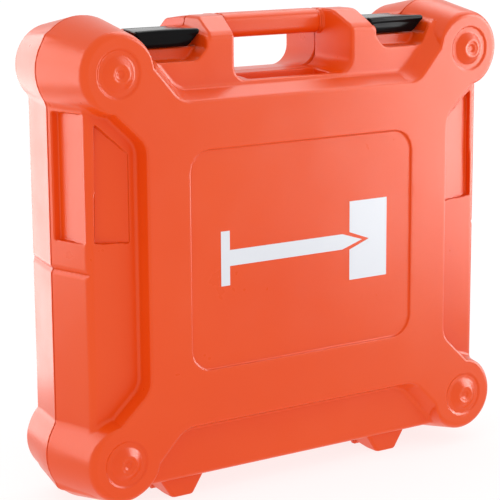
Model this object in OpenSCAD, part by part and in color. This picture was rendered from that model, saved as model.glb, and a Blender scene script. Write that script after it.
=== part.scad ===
// Moulded carrying case for a fastening tool, standing on its feet.
// X runs across the case, +Y is the rear half, -Y the front half (the lid), +Z is up.
// The seam between the halves is the plane y = 0 and the feet stand on z = 0.

/* [Case body] */
// Half width of the body at the seam
half_w = 221; // [215:1:230]
// Half width of the body at the outer edge of its front or rear face
face_half_w = 209; // [205:1:212]
// Depth of each half, from the seam to the raised field
half_depth = 61; // [58:1:70]
// Depth of the front half's outer border
front_edge_depth = 45; // [42:1:48]
// Depth of the rear half's outer border
rear_edge_depth = 58; // [56:1:60]
// Height of the body's top at the seam
body_top = 411; // [411:1:412]
// Height of the body's underside at the seam
body_bottom = 17; // [16:1:18]
// Height of the middle of the case
mid_z = 215; // [215:1:216]
// Wall thickness of the shells
wall = 3; // [2.5:0.5:4]

/* [Corner bosses] */
// Distance of a boss from the middle, across
boss_x = 186; // [184:1:188]
// Distance of a boss from the middle, up or down
boss_z = 165.3; // [164:0.1:165.3]
// Boss radius at the seam
boss_r = 44.5; // [43:0.5:44.5]
// Boss radius at its face
boss_face_r = 33.5; // [32:0.5:36]
// Distance of a raised arm's edges from the boss's middle
arm_r = 27; // [24:1:30]
// Radius of the shallow dish in a boss
dish_r = 20; // [18:1:26]
// Radius of the button's foot
button_r = 15; // [12:1:17]
// Radius of the button's top
button_top_r = 9; // [8:0.5:11]
// How far the button stands proud of the boss
button_h = 4; // [3:0.5:5]

/* [Raised field] */
// Upper corner of the raised field, across
field_top_x = 126.3; // [120:0.1:130]
// Upper corner of the raised field, above the middle
field_top_z = 138; // [134:1:142]
// Lower corner of the raised field, across
field_low_x = 127; // [118:1:130]
// Lower corner of the raised field, below the middle
field_low_z = 143.5; // [140:0.5:148]
// Side corner of the raised field, across
field_side_x = 160.5; // [160:0.5:168]
// Side corner of the raised field, above and below the middle
field_side_z = 104.5; // [96:0.5:106]
// Half width of the sunk panel
panel_half_w = 119; // [110:1:120]
// Half height of the sunk panel
panel_half_h = 96; // [90:1:98]
// Corner radius of the sunk panel
panel_r = 20; // [10:1:24]
// Depth of the sunk panel
panel_sunk = 2; // [1:0.5:2.5]

/* [Handle] */
// Height of the handle's top
handle_top = 420; // [418:1:422]
// Height of the grip's underside
grip_bottom = 398.5; // [397:0.5:400]
// Depth of each half of the grip
grip_depth = 12; // [11:1:14]
// Half width of the hand opening at the seam
hand_half_w = 54; // [52:1:56]
// Half width of the hand opening at its face
hand_face_half_w = 63; // [60:1:66]
// Height of the hand opening's floor at the seam
hand_floor = 369; // [368:1:370]

/* [Latches] */
// Middle of each latch, across
latch_x = 122; // [121:1:123]
// Width of a latch
latch_w = 62; // [60:1:62]
// Width of a latch's plate at the seam, and of its barrel
latch_seam_w = 44; // [40:1:48]
// Distance of the lip's front from the seam
lip_front = 33; // [32:1:34]
// Thickness of the lip
lip_t = 5; // [4:0.5:6]
// Underside of the lip
lip_bottom = 396; // [396:0.5:397]
// Top of the latch plate
latch_top = 411; // [410:0.5:411]
// Thickness of the latch plate
plate_t = 3; // [2.5:0.5:3]
// Distance of the latch pin behind the seam
latch_pin_y = 6; // [6:0.5:6.5]
// Height of the latch pin
latch_pin_z = 407; // [406.5:0.5:407]

/* [Hinge and feet] */
// Middle of each foot, across
foot_x = 114; // [108:1:120]
// Half width of a foot at its top
foot_top_half_w = 24; // [20:1:26]
// Half width of a foot at its underside
foot_low_half_w = 11; // [10:1:14]
// Distance of the foot's end from the seam
foot_depth = 34; // [30:1:36]
// Height of the hinge axis
hinge_z = 5; // [4.8:0.1:5]
// Radius of a hinge knuckle
knuckle_r = 5; // [4.5:0.1:5]
// Half width of the middle knuckle
knuckle_half_w = 5; // [4:0.5:6]
// Distance from the seam to where a foot's flat underside begins
foot_relief = 20; // [18:1:22]

/* [Pins] */
// Radius of the hinge and latch pins
pin_r = 1.5; // [1.25:0.05:1.75]
// Radial clearance of a turning part on its pin
pin_clearance = 0.06; // [0.03:0.01:0.09]

/* [Trays] */
// Thickness of the tray sheet
sheet = 2; // [1.5:0.5:2.5]
// Depth of the pockets in each tray
pocket_depth = 46; // [40:1:48]

/* [Hidden] */

$fn = 64;
far = 500;                  // longer than the case, for cuts that run right through
seam_gap = 0.2;             // each half stops this far short of the seam
clearance = 0.5;            // between parts that pass each other
side_draft = atan((half_w - face_half_w) / front_edge_depth);
rear_side_draft = atan((half_w - face_half_w) / rear_edge_depth);
top_drop = 6.5;             // fall of the body's top from the seam to the border
bottom_rise = 3;            // rise of the underside from the seam to the border
cavity_top = 360;           // underside of the block that the hand opening is cut in
hollow_half_w = 210;
hollow_floor_half_w = 204;
field_hollow_half_w = 156;
field_hollow_half_h = 130;
boss_hollow_in = 162;       // keeps the boss's hollow clear of the latch pin
dish_sunk = 1;
dimple_r = 4;
dimple_sunk = 2;
groove_z = mid_z - 2;
groove_sunk = 2;
patch_in = 170;             // inner and outer ends of the sunk border patch, and its depth there
patch_out = 203;
patch_in_sunk = 0.6;
patch_out_sunk = 5;
side_panel_start = 5;       // from the seam, where the side panel is deepest
side_panel_end = 41;
side_panel_sunk = 6.5;
side_panel_bottom = mid_z + 24;
side_panel_h = 108;
post_half_w = 86;
post_top_half_w = 84;
FRONT_SHOULDERS = [[20, 0], [46, 15]];
REAR_SHOULDERS = [[32, 4.5], [39.5, 12]];
post_hollow_w = 13;
post_hollow_top = 400;
floor_fall = 4;             // fall of the hand opening's floor towards the face
floor_pocket_half_w = 44;   // shallow pocket in that floor, in the front half
floor_pocket_start = 13;
floor_pocket_end = 39;
floor_pocket_z = 361;
grip_seat = 4;              // how far each end of the grip runs into its post
grip_edge_r = 7;
notch_floor = 385;
notch_floor_in = 100;
notch_floor_out = 142;
notch_top_out = 158;
notch_back = 26;            // distance of the finger notch's back wall from the seam
notch_front_wall = 40;      // the lip's room ends here, behind the raised arm
ledge_z = lip_bottom - clearance;
notch_in = latch_x - latch_w / 2 - clearance;
notch_out = latch_x + latch_w / 2 + clearance;
barrel_in = latch_x - latch_seam_w / 2;
barrel_out = latch_x + latch_seam_w / 2;
latch_neck = 3;             // the plate keeps its seam width this far in front of the seam
latch_pocket_back = 12;     // rear end of the latch's pocket in the rear half
latch_pocket_floor = 402;
lip_corner = 8;
barrel_r = 3.4;             // latch barrel round its pin
pin_seat = 4;               // length of each latch pin's end in the rear half
knuckle_gap = 0.3;          // between neighbouring knuckles
hinge_half_l = 14;          // half length of each hinge
MIDDLE_KNUCKLE = [[-knuckle_half_w, knuckle_half_w]];
SIDE_KNUCKLES = [[-hinge_half_l, -knuckle_half_w - knuckle_gap],
                 [knuckle_half_w + knuckle_gap, hinge_half_l]];
tray_setback = 2;           // the tray's rim sits this far inside the seam
tray_half_w = 208;
tray_h = 328;
tray_mid_z = 189;
pocket_r = 6;
POCKETS = [                 // middle x, middle z, width, height
    [0, 300, 290, 76],      // tool bay, body
    [72, 206, 64, 140],     // tool bay, handle
    [-62, 162, 176, 140]    // storage bin
];
mark_t = 0.3;
orange = [0.93, 0.33, 0.18];
dark_orange = [0.80, 0.26, 0.14];
black = [0.03, 0.03, 0.035];
steel = [0.62, 0.63, 0.65];

// Runs children drawn in X and Z along -Y, between two depths from the seam
module toward_front(from, to) {
    translate([0, -from, 0]) rotate([90, 0, 0]) linear_extrude(to - from) children();
}

// Runs a shape drawn in Y and Z along X, from x0 to x1
module along_x(x0, x1) {
    translate([x0, 0, 0]) rotate([90, 0, 90]) linear_extrude(x1 - x0) children();
}

// A round bar along X about the line through y and z
module bar(x0, x1, y, z, r) {
    translate([x0, y, z]) rotate([0, 90, 0]) cylinder(h = x1 - x0, r = r);
}

// Makes its children once on each side of the case
module both_sides() {
    children();
    mirror([1, 0, 0]) children();
}

// A rectangle with round corners, drawn about its middle
module rounded_rect(w, h, r) {
    square([w - 2 * r, h], center = true);
    square([w, h - 2 * r], center = true);
    for (x = [-1, 1], z = [-1, 1])
        translate([x * (w / 2 - r), z * (h / 2 - r)]) circle(r);
}

// The point where a line from p touches the circle about c; side is 1 or -1
function touch_point(p, c, r, side) =
    let (d = norm(c - p),
         heading = atan2(c[1] - p[1], c[0] - p[0]) + side * asin(r / d))
    p + sqrt(d * d - r * r) * [cos(heading), sin(heading)];

// Raised field in the quarter with positive x and height: its arm's edges pass arm_r from the
// boss's middle
function field_quarter(corner, side_corner) =
    let (boss = [boss_x, boss_z])
    [[0, 0], [0, corner[1]], corner,
     touch_point(corner, boss, arm_r, 1), boss,
     touch_point(side_corner, boss, arm_r, -1),
     side_corner, [side_corner[0], 0]];

module raised_field() {
    side_corner = [field_side_x, field_side_z];
    translate([0, mid_z]) both_sides() {
        polygon(field_quarter([field_top_x, field_top_z], side_corner));
        mirror([0, 1]) polygon(field_quarter([field_low_x, field_low_z], side_corner));
    }
}

// The drafted block of one half: one outline tapers it across, the other from top to bottom
module body_block(edge_depth) {
    intersection() {
        linear_extrude(far)
            polygon([[-half_w, 0], [half_w, 0],
                     [face_half_w, -edge_depth], [-face_half_w, -edge_depth]]);
        along_x(-half_w, half_w)
            polygon([[0, body_bottom], [0, body_top],
                     [-edge_depth, body_top - top_drop],
                     [-edge_depth, body_bottom + bottom_rise]]);
    }
}

// Its children's +Z becomes the way out of the front face at each corner boss
module at_bosses() {
    for (x = [-1, 1], z = [-1, 1])
        translate([x * boss_x, 0, mid_z + z * boss_z]) rotate([90, 0, 0]) children();
}

// Shallow ring-shaped dish round the button
module boss_dish() {
    translate([0, 0, half_depth - dish_sunk]) difference() {
        cylinder(h = far, r = dish_r);
        cylinder(h = far, r = button_r);
    }
}

// Cone-shaped button with a dimple in its top
module boss_button() {
    difference() {
        translate([0, 0, half_depth - dish_sunk])
            cylinder(h = button_h + dish_sunk, r1 = button_r, r2 = button_top_r);
        translate([0, 0, half_depth + button_h - dimple_sunk]) cylinder(h = far, r = dimple_r);
    }
}

// Handle posts, before the hand opening is cut; shoulders are the corners of their tops,
// each a depth from the seam and a drop below the handle's top
module posts(edge_depth, shoulders) {
    last = shoulders[len(shoulders) - 1];
    intersection() {
        toward_front(0, edge_depth)
            polygon([[-post_half_w, body_top], [-post_half_w, cavity_top],
                     [post_half_w, cavity_top], [post_half_w, body_top],
                     [post_top_half_w, handle_top], [-post_top_half_w, handle_top]]);
        along_x(-post_half_w, post_half_w)
            polygon([[0, cavity_top], [0, handle_top],
                     for (s = shoulders) [-s[0], handle_top - s[1]], [-last[0], cavity_top]]);
    }
}

// The hand opening, open to the top until the grip is added
module hand_opening(edge_depth) {
    intersection() {
        linear_extrude(far)
            polygon([[-hand_half_w, 1], [hand_half_w, 1], [hand_half_w, 0],
                     [hand_face_half_w, -edge_depth - 1], [-hand_face_half_w, -edge_depth - 1],
                     [-hand_half_w, 0]]);
        along_x(-hand_face_half_w - 1, hand_face_half_w + 1)
            polygon([[1, hand_floor], [1, far], [-far, far], [-far, hand_floor - floor_fall],
                     [-edge_depth, hand_floor - floor_fall]]);
    }
}

// Half of the grip, hollow towards the seam, its outer edges rounded
module grip() {
    grip_h = handle_top - grip_bottom;
    difference() {
        along_x(-hand_half_w - grip_seat, hand_half_w + grip_seat)
            intersection() {
                translate([0, grip_bottom + grip_h / 2])
                    rounded_rect(2 * grip_depth, grip_h, grip_edge_r);
                translate([-grip_depth, grip_bottom]) square([grip_depth, grip_h]);
            }
        translate([-hand_half_w, wall - grip_depth, grip_bottom + wall])
            cube([2 * hand_half_w, grip_depth, grip_h - 2 * wall]);
    }
}

// One foot of one half, relieved towards the seam so that the halves can swing apart
module foot() {
    foot_top = body_bottom + bottom_rise;
    translate([foot_x, 0, 0]) difference() {
        toward_front(0, foot_depth)
            polygon([[-foot_top_half_w, foot_top], [foot_top_half_w, foot_top],
                     [foot_low_half_w, 0], [-foot_low_half_w, 0]]);
        along_x(-far, far)
            polygon([[0, hinge_z], [-foot_relief, 0], [-foot_relief, -1], [1, -1], [1, hinge_z]]);
    }
}

// Hinge knuckles of one half in one foot, grown by the clearances given
module knuckles(spans, end_gap = 0, round_gap = 0) {
    for (span = spans)
        bar(foot_x + span[0] - end_gap, foot_x + span[1] + end_gap, 0, hinge_z,
            knuckle_r + round_gap);
}

// The hollow inside one half, open at the seam; floor_y is its depth behind the border and
// side_top its top beside the handle
module half_hollow(floor_y, side_top) {
    hollow_bottom = body_bottom + bottom_rise + wall;
    field_floor = half_depth - panel_sunk - wall;
    intersection() {
        linear_extrude(far)
            polygon([[-hollow_half_w, 1], [hollow_half_w, 1], [hollow_half_w, 0],
                     [hollow_floor_half_w, -floor_y], [-hollow_floor_half_w, -floor_y],
                     [-hollow_half_w, 0]]);
        union() {
            translate([-half_w, -floor_y, hollow_bottom])
                cube([2 * half_w, floor_y + 1, cavity_top - wall - hollow_bottom]);
            both_sides() translate([hand_face_half_w + wall, -floor_y, hollow_bottom])
                cube([half_w, floor_y + 1, side_top - hollow_bottom]);
            both_sides() translate([hand_face_half_w + wall, -floor_y, hollow_bottom])
                cube([post_hollow_w, floor_y + 1, post_hollow_top - hollow_bottom]);
        }
    }
    translate([-field_hollow_half_w, -field_floor, mid_z - field_hollow_half_h])
        cube([2 * field_hollow_half_w, field_floor + 1, 2 * field_hollow_half_h]);
    both_sides() intersection() {
        at_bosses() translate([0, 0, -1])
            cylinder(h = half_depth - wall, r1 = boss_r - wall, r2 = boss_face_r - wall);
        translate([boss_hollow_in, -half_depth, 0]) cube([half_w, far, far]);
    }
}

// Puts its children, drawn with +X outwards, on both drafted sides of one half
module on_sides(draft) {
    both_sides() translate([half_w, 0, 0]) rotate([0, 0, -draft]) children();
}

// V-shaped groove along the sides of both halves
module side_groove() {
    toward_front(-1, far)
        polygon([[-groove_sunk, groove_z], [1, groove_z + groove_sunk + 1],
                 [1, groove_z - groove_sunk - 1]]);
}

// One half of the shell, drawn as the front half
module half(edge_depth, draft, shoulders, hollow_depth, side_top) {
    difference() {
        union() {
            body_block(edge_depth);
            toward_front(0, half_depth) raised_field();
            at_bosses() cylinder(h = half_depth, r1 = boss_r, r2 = boss_face_r);
            posts(edge_depth, shoulders);
            both_sides() foot();
        }
        at_bosses() boss_dish();
        hand_opening(edge_depth);
        half_hollow(hollow_depth, side_top);
        on_sides(draft) side_groove();
        translate([-far / 2, -seam_gap, -1]) cube([far, far, far]);
    }
    at_bosses() boss_button();
    difference() {
        grip();
        translate([-far / 2, -seam_gap, -1]) cube([far, far, far]);
    }
}

// The finger notch under a latch, and the room behind it for the latch's lip and plate
module latch_notch() {
    translate([notch_in, -notch_front_wall, ledge_z])
        cube([notch_out - notch_in, notch_front_wall + 1, far]);
    toward_front(notch_back, half_depth + 1)
        polygon([[notch_in, far], [notch_in, ledge_z], [notch_floor_in, notch_floor],
                 [notch_floor_out, notch_floor], [notch_top_out, body_top]]);
}

// The sunk patch beside the raised field, deeper towards the side of the case
module border_patch() {
    face = -front_edge_depth;
    intersection() {
        toward_front(front_edge_depth - patch_out_sunk - 1, front_edge_depth + 1)
            translate([0, mid_z])
                polygon([[patch_in, 22], [patch_in, 96.6], [patch_out - 2, 123.6],
                         [patch_out, 24.4]]);
        linear_extrude(far)
            polygon([[patch_in, face + patch_in_sunk], [patch_out, face + patch_out_sunk],
                     [patch_out, face - 2], [patch_in, face - 2]]);
    }
}

// The sunk panel in the side of the front half, deeper towards the seam
module side_panel() {
    side_at_end = half_w - (half_w - face_half_w) * side_panel_end / front_edge_depth;
    side_at_start = half_w - (half_w - face_half_w) * side_panel_start / front_edge_depth;
    translate([0, 0, side_panel_bottom]) linear_extrude(side_panel_h)
        polygon([[side_at_start - side_panel_sunk, -side_panel_start],
                 [far, -side_panel_start], [far, -side_panel_end],
                 [side_at_end - 0.5, -side_panel_end]]);
}

// The shallow pocket in the floor of the hand opening
module floor_pocket() {
    translate([-floor_pocket_half_w, -floor_pocket_end, floor_pocket_z])
        cube([2 * floor_pocket_half_w, floor_pocket_end - floor_pocket_start,
              hand_floor - floor_pocket_z]);
}

module front_shell() {
    color(orange) difference() {
        union() {
            difference() {
                half(front_edge_depth, side_draft, FRONT_SHOULDERS,
                     front_edge_depth - patch_out_sunk - wall - 1, notch_floor - wall);
                toward_front(half_depth - panel_sunk, far) translate([0, mid_z])
                    rounded_rect(2 * panel_half_w, 2 * panel_half_h, panel_r);
                both_sides() latch_notch();
                both_sides() border_patch();
                both_sides() side_panel();
                floor_pocket();
            }
            both_sides() knuckles(MIDDLE_KNUCKLE);
        }
        both_sides() knuckles(SIDE_KNUCKLES, knuckle_gap, clearance);
        both_sides() bar(foot_x - hinge_half_l - 1, foot_x + hinge_half_l + 1, 0, hinge_z,
                         pin_r + pin_clearance);
    }
}

module rear_shell() {
    color(orange) difference() {
        union() {
            mirror([0, 1, 0])
                half(rear_edge_depth, rear_side_draft, REAR_SHOULDERS,
                     rear_edge_depth - wall, latch_pocket_floor - wall);
            both_sides() knuckles(SIDE_KNUCKLES);
        }
        both_sides() {
            knuckles(MIDDLE_KNUCKLE, knuckle_gap, clearance);
            bar(foot_x - hinge_half_l - 1, foot_x + hinge_half_l + 1, 0, hinge_z, pin_r);
            translate([barrel_in - clearance, -1, latch_pocket_floor])
                cube([latch_seam_w + 2 * clearance, latch_pocket_back + 1, far]);
            bar(barrel_in - pin_seat, barrel_out + pin_seat, latch_pin_y, latch_pin_z, pin_r);
        }
    }
}

// Outlines of the tool bay and the storage bin, in X and Z
module pocket_outlines(grow) {
    for (p = POCKETS)
        translate([p[0], p[1]]) rounded_rect(p[2] + 2 * grow, p[3] + 2 * grow, pocket_r + grow);
}

// One tray, drawn as the front one: a rim sheet with pockets pressed into it
module tray() {
    difference() {
        union() {
            toward_front(tray_setback, tray_setback + sheet) translate([0, tray_mid_z])
                rounded_rect(2 * tray_half_w, tray_h, pocket_r);
            toward_front(tray_setback, pocket_depth + sheet) pocket_outlines(sheet);
        }
        toward_front(-1, pocket_depth) pocket_outlines(0);
    }
}

module front_tray() {
    color(dark_orange) tray();
}

module rear_tray() {
    color(dark_orange) mirror([0, 1, 0]) tray();
}

// A latch: a plate that narrows to the seam, a lip that the fingers lift, and a barrel on the pin
module latch() {
    x0 = latch_x - latch_w / 2;
    x1 = latch_x + latch_w / 2;
    color(black) difference() {
        union() {
            translate([0, 0, latch_top - plate_t]) linear_extrude(plate_t)
                polygon([[x0, -lip_front], [x1, -lip_front], [x1, lip_t - lip_front],
                         [barrel_out, -latch_neck], [barrel_out, latch_pin_y],
                         [barrel_in, latch_pin_y], [barrel_in, -latch_neck],
                         [x0, lip_t - lip_front]]);
            toward_front(lip_front - lip_t, lip_front)
                polygon([[x0, latch_top], [x1, latch_top], [x1, lip_bottom + lip_corner],
                         [x1 - lip_corner, lip_bottom], [x0 + lip_corner, lip_bottom],
                         [x0, lip_bottom + lip_corner]]);
            bar(barrel_in, barrel_out, latch_pin_y, latch_pin_z, barrel_r);
        }
        bar(barrel_in - 1, barrel_out + 1, latch_pin_y, latch_pin_z, pin_r + pin_clearance);
    }
}

module latch_pin() {
    color(steel)
        bar(barrel_in - pin_seat, barrel_out + pin_seat, latch_pin_y, latch_pin_z, pin_r);
}

module hinge_pin() {
    color(steel) bar(foot_x - hinge_half_l, foot_x + hinge_half_l, 0, hinge_z, pin_r);
}

// Plain pictogram of a nail driven into a slab
module front_mark() {
    sunk_face = half_depth - panel_sunk;
    color("white") toward_front(sunk_face, sunk_face + mark_t) translate([0, mid_z]) {
        polygon([[-88, -24], [-88, 24], [-79, 24], [-79, 7], [42, 7], [64, 0], [42, -7],
                 [-79, -7], [-79, -24]]);
        polygon([[50, 36], [92, 36], [92, -36], [50, -36], [50, -8], [72, 0], [50, 8]]);
    }
}

rear_shell();
front_shell();
rear_tray();
front_tray();
mirror([1, 0, 0]) latch();  // latch_left
latch();  // latch_right
mirror([1, 0, 0]) latch_pin();  // latch_pin_left
latch_pin();  // latch_pin_right
mirror([1, 0, 0]) hinge_pin();  // hinge_pin_left
hinge_pin();  // hinge_pin_right
front_mark();
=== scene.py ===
"""Looks for a moulded carrying case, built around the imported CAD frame.

The shells, the trays and the latches are rebuilt as smooth moulded forms with real fillets.
Each form is a signed distance function in millimetres: negative inside, zero on the surface.
A grid of its values gives a mesh, whose points are then moved exactly onto the surface.
"""
import math

import bpy
import numpy as np
from mathutils import Matrix, Vector


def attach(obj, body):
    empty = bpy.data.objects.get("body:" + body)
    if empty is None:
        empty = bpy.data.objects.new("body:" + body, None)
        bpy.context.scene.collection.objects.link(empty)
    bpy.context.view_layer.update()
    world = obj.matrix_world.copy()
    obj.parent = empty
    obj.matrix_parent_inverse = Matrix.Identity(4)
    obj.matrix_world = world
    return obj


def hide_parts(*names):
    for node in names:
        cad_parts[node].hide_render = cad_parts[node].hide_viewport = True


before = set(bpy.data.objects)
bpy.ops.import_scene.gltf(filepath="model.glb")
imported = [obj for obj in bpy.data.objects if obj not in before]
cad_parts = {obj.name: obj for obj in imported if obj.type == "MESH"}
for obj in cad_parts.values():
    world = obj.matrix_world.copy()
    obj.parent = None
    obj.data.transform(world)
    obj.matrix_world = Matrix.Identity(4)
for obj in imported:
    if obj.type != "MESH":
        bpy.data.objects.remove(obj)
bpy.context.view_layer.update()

MM = 0.001

# ------------------------------------------------------------ sizes in mm
# They are the CAD's, apart from the three with a note.
MID_Z = 215.0
HALF_W, FACE_HALF_W = 221.0, 209.0
HALF_DEPTH = 61.0
BODY_TOP, TOP_DROP = 411.0, 6.5
BODY_BOTTOM, BOTTOM_RISE = 17.0, 3.0
WALL = 3.0
BOSS_WALL = 4.2             # thicker than the CAD's, so that the mesh keeps its two faces apart
SEAM_GAP = 0.35             # wider than the CAD's 0.2, so that the seam shows
BOSS_X, BOSS_Z = 186.0, 165.3
BOSS_R, BOSS_FACE_R, ARM_R = 44.5, 33.5, 27.0
FIELD_TOP = (126.3, 138.0)
FIELD_LOW = (127.0, 143.5)
FIELD_SIDE = (160.5, 104.5)
PANEL_HALF_W, PANEL_HALF_H, PANEL_R, PANEL_SUNK = 119.0, 96.0, 20.0, 2.0
# The field's flanks, upright in the CAD, lean by these slopes down to the flank's depth.
TOP_LEAN, LOW_LEAN, SIDE_LEAN, ARM_LEAN, FLANK_DEPTH = 0.58, 0.39, 0.14, 0.6, 18.0
HANDLE_TOP, GRIP_BOTTOM, GRIP_DEPTH = 420.0, 398.5, 12.0
POST_HALF_W = 86.0
HAND_HALF_W, HAND_FACE_HALF_W = 54.0, 63.0
HAND_FLOOR, FLOOR_FALL = 369.0, 4.0
LATCH_X, LATCH_HALF_W, LATCH_SEAM_HALF_W = 122.0, 31.0, 22.0
LATCH_PIN_Y, LATCH_PIN_Z, LATCH_PIN_SEAT = 6.0, 407.0, 4.0
LATCH_ROOM_FLOOR, LATCH_ROOM_DEPTH, LIP_ROOM_DEPTH = 402.0, 12.0, 40.0
LIP_FRONT, LIP_T, LIP_BOTTOM, LATCH_TOP = 33.0, 5.0, 396.0, 411.0
NOTCH_IN, NOTCH_OUT = 90.5, 153.5
NOTCH_FLOOR, LEDGE_Z, NOTCH_BACK = 385.0, 395.5, 26.0
FOOT_X, FOOT_DEPTH, FOOT_RELIEF = 114.0, 34.0, 20.0
HINGE_Z, KNUCKLE_R, PIN_R, PIN_FIT = 5.0, 5.0, 1.5, 0.06
MIDDLE_KNUCKLE = [(-5.0, 5.0)]
SIDE_KNUCKLES = [(-14.0, -5.3), (5.3, 14.0)]
HOLLOW_HALF_W, HOLLOW_DRAFT, HOLLOW_BOTTOM, HOLLOW_TOP = 210.0, 6.0, 23.0, 357.0
POST_HOLLOW_W, POST_HOLLOW_TOP, BOSS_HOLLOW_IN = 13.0, 400.0, 162.0
FIELD_HOLLOW_HALF_W, FIELD_HOLLOW_HALF_H, FIELD_FLOOR = 156.0, 130.0, 56.0
FLOOR_POCKET_HALF_W, FLOOR_POCKET_START, FLOOR_POCKET_END, FLOOR_POCKET_Z = 44.0, 13.0, 39.0, 361.0
POCKETS = [(0, 300, 290, 76), (72, 206, 64, 140), (-62, 162, 176, 140)]
TRAY_HALF_W, TRAY_HALF_H, TRAY_Z, POCKET_DEPTH = 208.0, 164.0, 189.0, 46.0

FRONT = dict(name="front_shell", turn=-1, edge=45.0, hollow=36.0, side_top=382.0,
             shoulders=[(20.0, 0.0), (46.0, 15.0)], own=MIDDLE_KNUCKLE, other=SIDE_KNUCKLES)
REAR = dict(name="rear_shell", turn=1, edge=58.0, hollow=55.0, side_top=399.0,
            shoulders=[(32.0, 4.5), (39.5, 12.0)], own=SIDE_KNUCKLES, other=MIDDLE_KNUCKLE)


# ------------------------------------------------------------ joining and cutting forms
def both(a, b, r=0.0):
    """What is inside a and b, its edge rounded to radius r, which may vary from place to place."""
    u, v = np.maximum(a + r, 0), np.maximum(b + r, 0)
    return np.minimum(np.maximum(a, b), -r) + np.sqrt(u * u + v * v)


def either(a, b, r=0.0):
    """What is inside a or b, its inner corner filled to radius r."""
    u, v = np.maximum(r - a, 0), np.maximum(r - b, 0)
    return np.maximum(np.minimum(a, b), r) - np.sqrt(u * u + v * v)


def without(a, b, r=0.0):
    """What is inside a but not b, its edge rounded to radius r."""
    return both(a, -b, r)


# ------------------------------------------------------------ simple forms
def slab(v, low, high):
    """The layer between low and high along one axis."""
    return np.maximum(low - v, v - high)


def leaning(v, slope):
    """A distance along one axis, made true for a plane that leans by slope."""
    return v / math.hypot(1, slope)


def line(u, v, p, q, lean=0.0, depth=0.0):
    """What is left of the line from p to q, which moves out by lean for each unit of depth."""
    ux, uy = q[0] - p[0], q[1] - p[1]
    across = ((u - p[0]) * uy - (v - p[1]) * ux) / math.hypot(ux, uy)
    return leaning(across - lean * depth, lean)


def rounded_rect(u, v, half_u, half_v, r):
    """A rectangle about the middle with round corners."""
    a, b = np.abs(u) - half_u + r, np.abs(v) - half_v + r
    return np.hypot(np.maximum(a, 0), np.maximum(b, 0)) + np.minimum(np.maximum(a, b), 0) - r


def touch_point(p, side):
    """Where the edge of an arm from p passes the middle of a boss; side is 1 or -1."""
    dx, dz = BOSS_X - p[0], BOSS_Z - p[1]
    distance = math.hypot(dx, dz)
    heading = math.atan2(dz, dx) + side * math.asin(ARM_R / distance)
    reach = math.sqrt(distance ** 2 - ARM_R ** 2)
    return p[0] + reach * math.cos(heading), p[1] + reach * math.sin(heading)


def smooth_step(v, low, high):
    t = np.clip((v - low) / (high - low), 0, 1)
    return t * t * (3 - 2 * t)


# ------------------------------------------------------------ sub-forms of a shell
def boss_face(r):
    """Depth of a boss's face at radius r: a sunk ring round a cone-shaped button with a dimple."""
    radii = (0, 2.4, 4.2, 6.0, 6.6, 8.4, 14.8, 19.4, 20.4)
    depths = (62.9, 62.9, 64.4, 64.4, 65.0, 65.0, 60.1, 59.9, 61.0)
    softening = 0.4
    return sum(np.interp(r + k * softening, radii, depths) for k in (-1, 0, 1)) / 3


def raised_field(x, h, d):
    """Flanks of the star-shaped field: a middle, and an arm that runs onto each boss."""
    below = np.minimum(HALF_DEPTH - d, FLANK_DEPTH)
    top = leaning(h - FIELD_TOP[1] - TOP_LEAN * below, TOP_LEAN)
    low = leaning(-h - FIELD_LOW[1] - LOW_LEAN * below, LOW_LEAN)
    side = leaning(x - FIELD_SIDE[0] - SIDE_LEAN * below, SIDE_LEAN)
    field = both(both(top, low), side)
    for corner, sign in ((FIELD_TOP, 1), (FIELD_LOW, -1)):
        v = sign * h
        upper = line(x, v, touch_point(corner, 1), corner, ARM_LEAN, below)
        lower = line(x, v, FIELD_SIDE, touch_point(FIELD_SIDE, -1), SIDE_LEAN, below)
        ends = slab(x + v, 150, BOSS_X + BOSS_Z) / math.sqrt(2)
        field = either(field, both(both(upper, lower), ends), 6)
    return field


def post(x, d, z, shoulders):
    """A handle post; its shoulders are corners of its top, each a depth and a drop."""
    sides = leaning(x - POST_HALF_W + 0.2 * (z - BODY_TOP), 0.2)
    form = both(sides, z - HANDLE_TOP, 3)
    last = (0.0, HANDLE_TOP)
    for depth, drop in shoulders:
        here = (depth, HANDLE_TOP - drop)
        if drop:
            form = both(form, line(d, z, here, last), 1.5)
        last = here
    return both(both(form, 350 - z), d - last[0], 1.5)


def foot(fx, d, z):
    """A foot, relieved towards the seam so that the halves can swing apart."""
    form = both(line(fx, z, (11, 0), (24, 20)), d - FOOT_DEPTH, 3)
    form = both(both(form, z - 22), -z, 1.5)
    return both(form, line(d, z, (0, HINGE_Z), (FOOT_RELIEF, 0)), 1)


def side_panel(x, d, z):
    """The sunk panel in the side of the front half, deeper towards the seam."""
    outline = both(slab(d, 5, 41), slab(z, 239, 347), 2)
    return both(outline, leaning(213.2 - 0.1 * (d - 5) - x, 0.1), 0.8)


def border_patch(x, h, d):
    """The sunk patch beside the raised field, deeper towards the side of the case."""
    corners = [(170, 96.6), (170, 22), (203, 24.4), (201, 123.6)]
    outline = line(x, h, corners[3], corners[0])
    for p, q in zip(corners, corners[1:]):
        outline = both(outline, line(x, h, p, q), 1.5)
    return both(outline, leaning(43.8 - 0.115 * (x - 170) - d, 0.115), 0.5)


def finger_notch(x, d, z):
    """The notch that the fingers reach into to lift a latch."""
    form = line(x, z, (NOTCH_IN, LEDGE_Z), (100, NOTCH_FLOOR))
    form = both(form, NOTCH_FLOOR - z, 3)
    form = both(form, NOTCH_IN - x, 1)
    form = both(form, line(x, z, (142, NOTCH_FLOOR), (158, BODY_TOP)), 4)
    return both(form, leaning(NOTCH_BACK - d + 0.12 * (LEDGE_Z - z), 0.12), 2)


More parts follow.
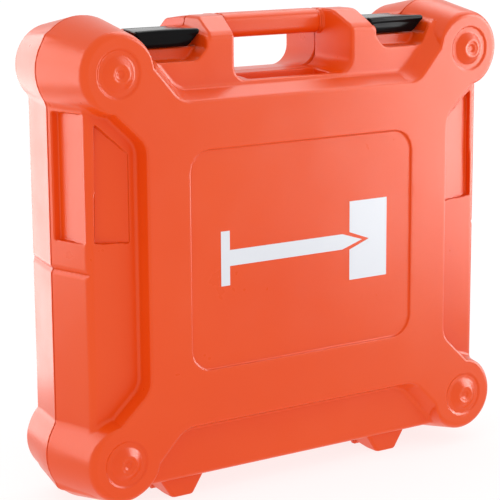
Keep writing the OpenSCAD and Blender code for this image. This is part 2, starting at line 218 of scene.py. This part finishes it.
def hollow(x, h, d, z, radius, half):
    """The hollow inside one half, open at the seam."""
    floor = half["hollow"]
    inner = leaning(x - HOLLOW_HALF_W + HOLLOW_DRAFT / floor * d, HOLLOW_DRAFT / floor)
    beside_grip = HAND_FACE_HALF_W + WALL
    tall = slab(z, HOLLOW_BOTTOM, HOLLOW_TOP)
    wide = both(slab(z, HOLLOW_BOTTOM, half["side_top"]), beside_grip - x)
    stack = both(slab(z, HOLLOW_BOTTOM, POST_HOLLOW_TOP),
                 slab(x, beside_grip, beside_grip + POST_HOLLOW_W))
    form = both(both(np.minimum(np.minimum(tall, wide), stack), inner), d - floor, 2)
    behind_field = both(x - FIELD_HOLLOW_HALF_W, np.abs(h) - FIELD_HOLLOW_HALF_H)
    form = np.minimum(form, both(behind_field, d - FIELD_FLOOR, 2))
    slope = (BOSS_R - BOSS_FACE_R) / (HALF_DEPTH - WALL)
    bore = leaning(radius - BOSS_R + BOSS_WALL + slope * d, slope)
    bore = both(bore, d - HALF_DEPTH + BOSS_WALL, 4)
    form = np.minimum(form, both(bore, BOSS_HOLLOW_IN - x))
    grip_mid = (HANDLE_TOP + GRIP_BOTTOM) / 2
    grip = rounded_rect(d, z - grip_mid, GRIP_DEPTH - WALL, 7.7, 3)
    return np.minimum(form, both(grip, x - HAND_HALF_W + 4))


def half_form(x, d, z, half):
    """One half of the shell; d is the depth from the seam, and left and right are alike."""
    x = np.abs(x)
    h = z - MID_Z
    edge = half["edge"]
    front = half is FRONT
    draft = (HALF_W - FACE_HALF_W) / edge
    side = leaning(x - HALF_W + draft * d, draft)
    top = leaning(z - BODY_TOP + TOP_DROP / edge * d, TOP_DROP / edge)
    bottom = leaning(BODY_BOTTOM + BOTTOM_RISE / edge * d - z, BOTTOM_RISE / edge)

    outline = either(both(side, both(top, bottom), 4), post(x, d, z, half["shoulders"]), 2)
    form = both(outline, d - edge, 5)
    if front:
        form = without(form, side_panel(x, d, z), 0.8)
        form = without(form, border_patch(x, h, d), 0.5)

    radius = np.hypot(x - BOSS_X, np.abs(h) - BOSS_Z)
    slope = (BOSS_R - BOSS_FACE_R) / HALF_DEPTH
    flanks = np.minimum(raised_field(x, h, d), leaning(radius - BOSS_R + slope * d, slope))
    outwards = (x - BOSS_X + np.abs(h) - BOSS_Z) / math.sqrt(2)
    rim = 1.4 + 3.6 * smooth_step(outwards, -16, 14)
    form = either(form, both(flanks, 0.87 * (d - boss_face(radius)), rim), 2.5)
    groove = (np.abs(z - MID_Z + 2) - 1.4 * (side + 2.2)) / 1.72
    form = without(form, both(groove, 30 - x), 0.7)

    if front:
        panel = rounded_rect(x, h, PANEL_HALF_W, PANEL_HALF_H, PANEL_R)
        form = without(form, both(panel, HALF_DEPTH - PANEL_SUNK - d, 1), 0.7)

    widening = (HAND_FACE_HALF_W - HAND_HALF_W) / edge
    fall = FLOOR_FALL / edge
    opening = leaning(x - HAND_HALF_W - widening * np.maximum(d, 0), widening)
    floor = leaning(HAND_FLOOR - fall * d - z, fall)
    form = without(form, both(opening, floor, 13 if front else 18), 2)
    if front:
        pocket = both(slab(d, FLOOR_POCKET_START, FLOOR_POCKET_END), x - FLOOR_POCKET_HALF_W, 2)
        pocket = both(pocket, FLOOR_POCKET_Z - z, 1)
        form = without(form, pocket, 1)
    mid = (HANDLE_TOP + GRIP_BOTTOM) / 2
    grip = rounded_rect(d, z - mid, GRIP_DEPTH, (HANDLE_TOP - GRIP_BOTTOM) / 2, 8)
    ring = both(np.abs(x - 52.4) - 1.5, -grip - 1.0, 0.5)
    grip = without(grip, ring, 0.6)
    form = either(form, both(grip, x - 62), 0.8)
    form = either(form, foot(np.abs(x - FOOT_X), d, z), 2)

    if front:
        room = both(slab(x, NOTCH_IN, NOTCH_OUT), LEDGE_Z - z, 1)
        room = both(room, d - LIP_ROOM_DEPTH, 2)
        form = without(form, room, 0.6 + 2.4 * smooth_step(z, 404, 412))
        form = without(form, finger_notch(x, d, z), 1.2)
    else:
        from_latch = np.abs(x - LATCH_X)
        room = both(from_latch - LATCH_SEAM_HALF_W - 0.5, LATCH_ROOM_FLOOR - z, 1)
        room = both(room, d - LATCH_ROOM_DEPTH, 2)
        form = without(form, room, 0.6)
        pin = np.hypot(d - LATCH_PIN_Y, z - LATCH_PIN_Z) - PIN_R
        form = without(form, both(pin, from_latch - LATCH_SEAM_HALF_W - LATCH_PIN_SEAT))
    form = without(form, hollow(x, h, d, z, radius, half))

    form = both(form, SEAM_GAP - d, 0.5)
    axis = np.hypot(d, z - HINGE_Z)
    for a, b in half["own"]:
        form = either(form, both(axis - KNUCKLE_R, slab(x - FOOT_X, a, b), 0.4))
    for a, b in half["other"]:
        form = without(form, both(axis - KNUCKLE_R - 0.5, slab(x - FOOT_X, a - 0.3, b + 0.3)))
    return without(form, both(axis - PIN_R - PIN_FIT, np.abs(x - FOOT_X) - 15))


def tray_form(x, d, z):
    """A tray: a rim sheet with drafted, round-bottomed pockets pressed into it."""
    outline = None
    for px, pz, w, height in POCKETS:
        one = rounded_rect(x - px, z - pz, w / 2, height / 2, 6)
        outline = one if outline is None else either(outline, one, 5)
    pocket = both(leaning(outline + 0.05 * (d - 2), 0.05), d - POCKET_DEPTH, 7)
    rim = both(rounded_rect(x, z - TRAY_Z, TRAY_HALF_W, TRAY_HALF_H, 6), slab(d, 2, 4), 0.8)
    form = either(rim, both(pocket - 2, 2 - d), 1.5)
    return without(form, pocket, 1.5)


def latch_form(x, y, z):
    """A latch about its own middle: a plate that narrows to the seam, a lip and a barrel."""
    x = np.abs(x)
    top = z - LATCH_TOP + 0.0006 * x * x + 0.0010 * (y + 14) ** 2
    back = LIP_T - LIP_FRONT
    narrowing = line(x, y, (LATCH_HALF_W, back), (LATCH_SEAM_HALF_W, -3))
    outline = both(x - LATCH_HALF_W, either(narrowing, x - LATCH_SEAM_HALF_W, 5), 4)
    plate = both(both(top, -top - 2.9, 1.2), both(outline, slab(y, -LIP_FRONT, 7)), 0.9)
    set_back = 0.028 * np.maximum(406 - z, 0) ** 2
    lip = both(-y - LIP_FRONT + set_back, y - back, 1)
    lip = both(lip, LIP_BOTTOM - z, 1.8)
    ends = line(x, z, (22.0, LIP_BOTTOM), (32.5, LATCH_TOP - 2))
    lip = both(lip, both(both(ends, x - LATCH_HALF_W, 3), top, 2), 2.2)
    form = either(plate, lip, 3)
    axis = np.hypot(y - LATCH_PIN_Y, z - LATCH_PIN_Z)
    form = either(form, both(axis - 3.4, x - LATCH_SEAM_HALF_W, 0.8), 1.5)
    return without(form, axis - PIN_R - PIN_FIT, 0.2)


# ------------------------------------------------------------ from a form to a mesh
CORNERS = [(i, j, k) for i in (0, 1) for j in (0, 1) for k in (0, 1)]


def neighbours(a, b):
    return sum(abs(p - q) for p, q in zip(a, b)) == 1


def surface_net(values, low, step):
    """One point in each cell that the surface crosses, and one face for each crossed edge."""
    inside = values < 0
    n = [s - 1 for s in values.shape]
    filled = sum(inside[i:i + n[0], j:j + n[1], k:k + n[2]].astype(np.uint8) for i, j, k in CORNERS)
    cells = np.argwhere((filled > 0) & (filled < 8))
    number = np.full(n, -1, np.int64)
    number[tuple(cells.T)] = np.arange(len(cells))
    total, hits = np.zeros((len(cells), 3)), np.zeros(len(cells))
    for i, a in enumerate(CORNERS):
        for b in CORNERS[i + 1:]:
            if not neighbours(a, b):
                continue
            va, vb = values[tuple((cells + a).T)], values[tuple((cells + b).T)]
            crossed = (va < 0) != (vb < 0)
            t = np.where(crossed, va / np.where(crossed, va - vb, 1), 0)[:, None]
            total += crossed[:, None] * (np.array(a) + t * (np.array(b) - np.array(a)))
            hits += crossed
    points = (cells + total / hits[:, None]) * step + low

    quads = []
    for axis in range(3):
        u, v = [a for a in range(3) if a != axis]
        first = np.take(inside, range(0, values.shape[axis] - 1), axis)
        second = np.take(inside, range(1, values.shape[axis]), axis)
        where = np.argwhere(first != second)
        clear = (where[:, u] > 0) & (where[:, v] > 0) & (where[:, u] < n[u]) & (where[:, v] < n[v])
        where = where[clear]
        to_u, to_v = np.eye(3, dtype=int)[u], np.eye(3, dtype=int)[v]
        around = [where, where - to_u, where - to_u - to_v, where - to_v]
        quad = np.stack([number[tuple(cell.T)] for cell in around], 1)
        outward = first[tuple(where.T)]
        flip = outward if axis == 1 else ~outward
        quad[flip] = quad[flip][:, ::-1]
        quads.append(quad)
    return points, np.concatenate(quads)


def gradient(form, points, reach):
    """The direction in which the form grows fastest at each point."""
    out = np.empty_like(points)
    for axis in range(3):
        step = reach * np.eye(3)[axis]
        out[:, axis] = (form(*(points + step).T) - form(*(points - step).T)) / (2 * reach)
    return out


def onto_surface(form, points, steps=3, reach=0.05, furthest=0.6):
    """Moves points onto the form's surface along its steepest direction."""
    for _ in range(steps):
        g = gradient(form, points, reach)
        square = np.maximum((g * g).sum(1), 0.05)
        move = -(form(*points.T) / square)[:, None] * g
        length = np.maximum(np.linalg.norm(move, axis=1, keepdims=True), 1e-9)
        points = points + move * np.minimum(1, furthest / length)
    return points


def mesh_object(name, points, faces):
    mesh = bpy.data.meshes.new(name)
    mesh.from_pydata((points * MM).tolist(), [], faces.tolist())
    obj = bpy.data.objects.new(name, mesh)
    bpy.context.scene.collection.objects.link(obj)
    return obj


def apply_modifiers(obj):
    graph = bpy.context.evaluated_depsgraph_get()
    mesh = bpy.data.meshes.new_from_object(obj.evaluated_get(graph))
    obj.modifiers.clear()
    obj.data = mesh


def thinned(obj, triangles):
    """Merges faces where the surface is flat, until about that many triangles are left."""
    now = 2 * len(obj.data.polygons)
    if now > triangles:
        obj.modifiers.new("thin", "DECIMATE").ratio = triangles / now
        apply_modifiers(obj)


def true_normals(obj, form, reach=0.2):
    """Shades the mesh with the form's own directions, so that its triangles don't show."""
    points = np.empty(len(obj.data.vertices) * 3, np.float32)
    obj.data.vertices.foreach_get("co", points)
    g = gradient(form, points.reshape(-1, 3).astype(float) / MM, reach)
    g /= np.maximum(np.linalg.norm(g, axis=1, keepdims=True), 1e-9)
    obj.data.polygons.foreach_set("use_smooth", [True] * len(obj.data.polygons))
    obj.data.normals_split_custom_set_from_vertices(g.tolist())


def moulded(name, form, low, high, step, triangles, mirrored=False):
    """A mesh of the form within the corners given; a mirrored form is sampled on one side."""
    low, step = np.array(low, float), np.array(step, float)
    axes = [np.arange(a, b + s, s) for a, b, s in zip(low, high, step)]
    x, y, z = axes[0][:, None, None], axes[1][None, :, None], axes[2][None, None, :]
    values = form(x, y, z)
    if mirrored:
        values = np.concatenate([values[:0:-1], values])
        low[0] = -(values.shape[0] // 2) * step[0]
    points, faces = surface_net(values, low, step)
    points = onto_surface(form, points)
    obj = mesh_object(name, points, faces)
    thinned(obj, triangles)
    true_normals(obj, form)
    return obj


# ------------------------------------------------------------ materials
def new_material(name):
    material = bpy.data.materials.new(name)
    material.use_nodes = True
    return material, material.node_tree.nodes, material.node_tree.links


def noise(nodes, links, coords, scale, detail=2.0, roughness=0.5):
    """A noise pattern whose features are about 1/scale metres across."""
    node = nodes.new("ShaderNodeTexNoise")
    node.inputs["Scale"].default_value = scale
    node.inputs["Detail"].default_value = detail
    node.inputs["Roughness"].default_value = roughness
    links.new(coords, node.inputs["Vector"])
    return node.outputs["Fac"]


def mapped(nodes, links, value, low, high, from_low=0.3, from_high=0.7):
    node = nodes.new("ShaderNodeMapRange")
    node.inputs["From Min"].default_value = from_low
    node.inputs["From Max"].default_value = from_high
    node.inputs["To Min"].default_value = low
    node.inputs["To Max"].default_value = high
    links.new(value, node.inputs["Value"])
    return node.outputs["Result"]


def bumped(nodes, links, height, depth, under=None):
    """A bump of the depth given in metres, laid over another bump."""
    node = nodes.new("ShaderNodeBump")
    node.inputs["Strength"].default_value = 1.0
    node.inputs["Distance"].default_value = depth
    links.new(height, node.inputs["Height"])
    if under is not None:
        links.new(under, node.inputs["Normal"])
    return node.outputs["Normal"]


def plastic(name, colour, paler, roughness, grain=1100, grain_depth=0.00005, wave_depth=0.0006,
            specular=0.5):
    """Moulded plastic: faint cloudy colour, a fine grain and the slow waves of a large moulding."""
    material, nodes, links = new_material(name)
    shader = nodes["Principled BSDF"]
    coords = nodes.new("ShaderNodeTexCoord").outputs["Object"]
    mix = nodes.new("ShaderNodeMix")
    mix.data_type = "RGBA"
    mix.inputs["A"].default_value = (*colour, 1)
    mix.inputs["B"].default_value = (*paler, 1)
    links.new(mapped(nodes, links, noise(nodes, links, coords, 7, 3), 0, 1), mix.inputs["Factor"])
    links.new(mix.outputs["Result"], shader.inputs["Base Color"])
    sheen = noise(nodes, links, coords, 24, 4, 0.6)
    links.new(mapped(nodes, links, sheen, roughness - 0.03, roughness + 0.04),
              shader.inputs["Roughness"])
    waves = bumped(nodes, links, noise(nodes, links, coords, 16, 1), wave_depth)
    fine = bumped(nodes, links, noise(nodes, links, coords, grain, 2, 0.6), grain_depth, waves)
    links.new(fine, shader.inputs["Normal"])
    shader.inputs["Specular IOR Level"].default_value = specular
    return material


def turned_steel(name):
    """Bright drawn steel with fine rings round its length."""
    material, nodes, links = new_material(name)
    shader = nodes["Principled BSDF"]
    coords = nodes.new("ShaderNodeTexCoord").outputs["Object"]
    stretch = nodes.new("ShaderNodeMapping")
    stretch.inputs["Scale"].default_value = (9000, 60, 60)
    links.new(coords, stretch.inputs["Vector"])
    rings = noise(nodes, links, stretch.outputs["Vector"], 1, 2)
    links.new(mapped(nodes, links, rings, 0.22, 0.38), shader.inputs["Roughness"])
    links.new(bumped(nodes, links, rings, 0.00002), shader.inputs["Normal"])
    mix = nodes.new("ShaderNodeMix")
    mix.data_type = "RGBA"
    mix.inputs["A"].default_value = (0.55, 0.56, 0.58, 1)
    mix.inputs["B"].default_value = (0.68, 0.69, 0.70, 1)
    links.new(rings, mix.inputs["Factor"])
    links.new(mix.outputs["Result"], shader.inputs["Base Color"])
    shader.inputs["Metallic"].default_value = 1.0
    return material


ORANGE = plastic("orange_shell_plastic", (0.81, 0.068, 0.003), (0.83, 0.078, 0.005), 0.30,
                 specular=0.3)
DARK_ORANGE = plastic("tray_plastic", (0.62, 0.040, 0.010), (0.68, 0.050, 0.014), 0.42,
                      grain=700, grain_depth=0.00008)
BLACK = plastic("gloss_black_plastic", (0.003, 0.003, 0.0035), (0.004, 0.004, 0.0045), 0.16,
                grain_depth=0.00001, wave_depth=0.0002, specular=0.08)
PRINT = plastic("white_print", (0.72, 0.74, 0.79), (0.76, 0.78, 0.83), 0.35,
                grain_depth=0.00003, wave_depth=0.0002)
STEEL = turned_steel("pin_steel_turned")


def dress(piece, body, slot, material, *replaced):
    """Gives a new piece its material and body, and hides the CAD nodes it stands for; slot is not
    used.
    """
    piece.data.materials.clear()
    piece.data.materials.append(material)
    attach(piece, body)
    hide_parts(*replaced)


def redress(node, material):
    """Gives a CAD node that stays a procedural material."""
    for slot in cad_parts[node].material_slots:
        slot.material = material


# ------------------------------------------------------------ pieces
def build_shell(half, body, step, triangles):
    turn = half["turn"]
    low, high = sorted((turn * (-KNUCKLE_R - 1.5), turn * (HALF_DEPTH + 6)))
    piece = moulded(half["name"] + "_moulding", lambda x, y, z: half_form(x, turn * y, z, half),
                    (0, low, -2), (232, high, 427), (step, step * 0.8, step), triangles,
                    mirrored=True)
    dress(piece, body, "shell_plastic", ORANGE, half["name"])


def build_tray(side, turn, body):
    low, high = sorted((turn * 0.5, turn * (POCKET_DEPTH + 4)))
    piece = moulded(side + "_tray_moulding", lambda x, y, z: tray_form(x, turn * y, z),
                    (-TRAY_HALF_W - 2, low, 22), (TRAY_HALF_W + 2, high, 356), (1.8, 0.9, 1.8),
                    60000)
    dress(piece, body, "tray_plastic", DARK_ORANGE, side + "_tray")


def build_latch(side, sign):
    piece = moulded("latch_" + side + "_moulding",
                    lambda x, y, z: latch_form(x - sign * LATCH_X, y, z),
                    (sign * LATCH_X - 33, -35, 394), (sign * LATCH_X + 33, 11, 413),
                    (0.6, 0.5, 0.5), 40000)
    dress(piece, side + "_latch", "latch_plastic", BLACK, "latch_" + side)


def build_stage():
    """A wide floor that glows faintly, so that it stays white under a faint contact shadow."""
    size = 60.0
    mesh = bpy.data.meshes.new("floor")
    mesh.from_pydata([(-size, -size, 0), (size, -size, 0), (size, size, 0), (-size, size, 0)],
                     [], [(0, 1, 2, 3)])
    floor = bpy.data.objects.new("floor", mesh)
    bpy.context.scene.collection.objects.link(floor)
    material, nodes, _ = new_material("pale_floor")
    shader = nodes["Principled BSDF"]
    shader.inputs["Base Color"].default_value = (0.25, 0.25, 0.25, 1)
    shader.inputs["Roughness"].default_value = 0.9
    shader.inputs["Specular IOR Level"].default_value = 0.0
    shader.inputs["Emission Color"].default_value = (1, 1, 1, 1)
    shader.inputs["Emission Strength"].default_value = 0.80
    mesh.materials.append(material)


# ------------------------------------------------------------ light and camera
def build_world():
    """A white studio that is equally bright all round."""
    world = bpy.data.worlds.new("studio")
    bpy.context.scene.world = world
    world.use_nodes = True
    world.node_tree.nodes["Background"].inputs["Color"].default_value = (1, 1, 1, 1)
    world.node_tree.nodes["Background"].inputs["Strength"].default_value = 0.97


def build_panel(name, place, toward, size, radiance):
    """A glowing panel at place that faces toward and shows only in reflections."""
    light = bpy.data.lights.new(name, "AREA")
    light.shape = "RECTANGLE"
    light.size, light.size_y = size
    light.energy = 4 * radiance * size[0] * size[1]
    obj = bpy.data.objects.new(name, light)
    bpy.context.scene.collection.objects.link(obj)
    obj.location = place
    obj.rotation_mode = "QUATERNION"
    obj.rotation_quaternion = Vector(toward).to_track_quat("-Z", "Y")
    obj.visible_diffuse = False
    obj.visible_camera = False


def build_card(name, start, end, height, radiance):
    """A glowing card that stands on the floor from start to end."""
    across = Vector((end[0] - start[0], end[1] - start[1], 0))
    middle = ((start[0] + end[0]) / 2, (start[1] + end[1]) / 2, height / 2)
    build_panel(name, middle, (-across.y, across.x, 0), (across.length, height), radiance)


def build_camera():
    """The camera, set by its direction, distance, target and roll."""
    azimuth, elevation, roll = (math.radians(a) for a in (-34.0286, 11.5482, -0.3794))
    distance, target = 1.5715, Vector((-0.0593, -0.0610, 0.2200))
    back = Vector((math.sin(azimuth) * math.cos(elevation),
                   -math.cos(azimuth) * math.cos(elevation), math.sin(elevation)))
    level = Vector((math.cos(azimuth), math.sin(azimuth), 0))
    upright = back.cross(level)
    right = level * math.cos(roll) + upright * math.sin(roll)
    up = upright * math.cos(roll) - level * math.sin(roll)
    data = bpy.data.cameras.new("camera")
    data.lens, data.sensor_width = 130.755, 36.0
    data.clip_start, data.clip_end = 0.05, 200.0
    camera = bpy.data.objects.new("camera", data)
    bpy.context.scene.collection.objects.link(camera)
    turn = Matrix((right, up, back)).transposed().to_4x4()
    camera.matrix_world = Matrix.Translation(target + back * distance) @ turn
    bpy.context.scene.camera = camera


SHELL_STEP = 1.6
build_shell(REAR, "rear_half", SHELL_STEP, 190000)
build_shell(FRONT, "lid", SHELL_STEP, 190000)
build_tray("rear", 1, "rear_half")
build_tray("front", -1, "lid")
build_latch("left", -1)
build_latch("right", 1)
for pin in ("latch_pin_left", "latch_pin_right", "hinge_pin_left", "hinge_pin_right"):
    redress(pin, STEEL)
redress("front_mark", PRINT)
build_stage()
build_world()
build_card("card_right", (0.63, -0.71), (1.35, -0.10), 1.0, 7.4)
build_card("card_back_left", (-0.62, 0.82), (-1.15, 0.45), 1.0, 3.0)
build_card("card_behind", (-0.14, 0.42), (-0.42, 0.35), 0.6, 1.9)
build_panel("card_above", (0.70, 0.20, 1.35), (-0.5, -0.2, -1), (1.2, 0.9), 2.6)
build_camera()
bpy.context.scene.view_settings.view_transform = "Standard"
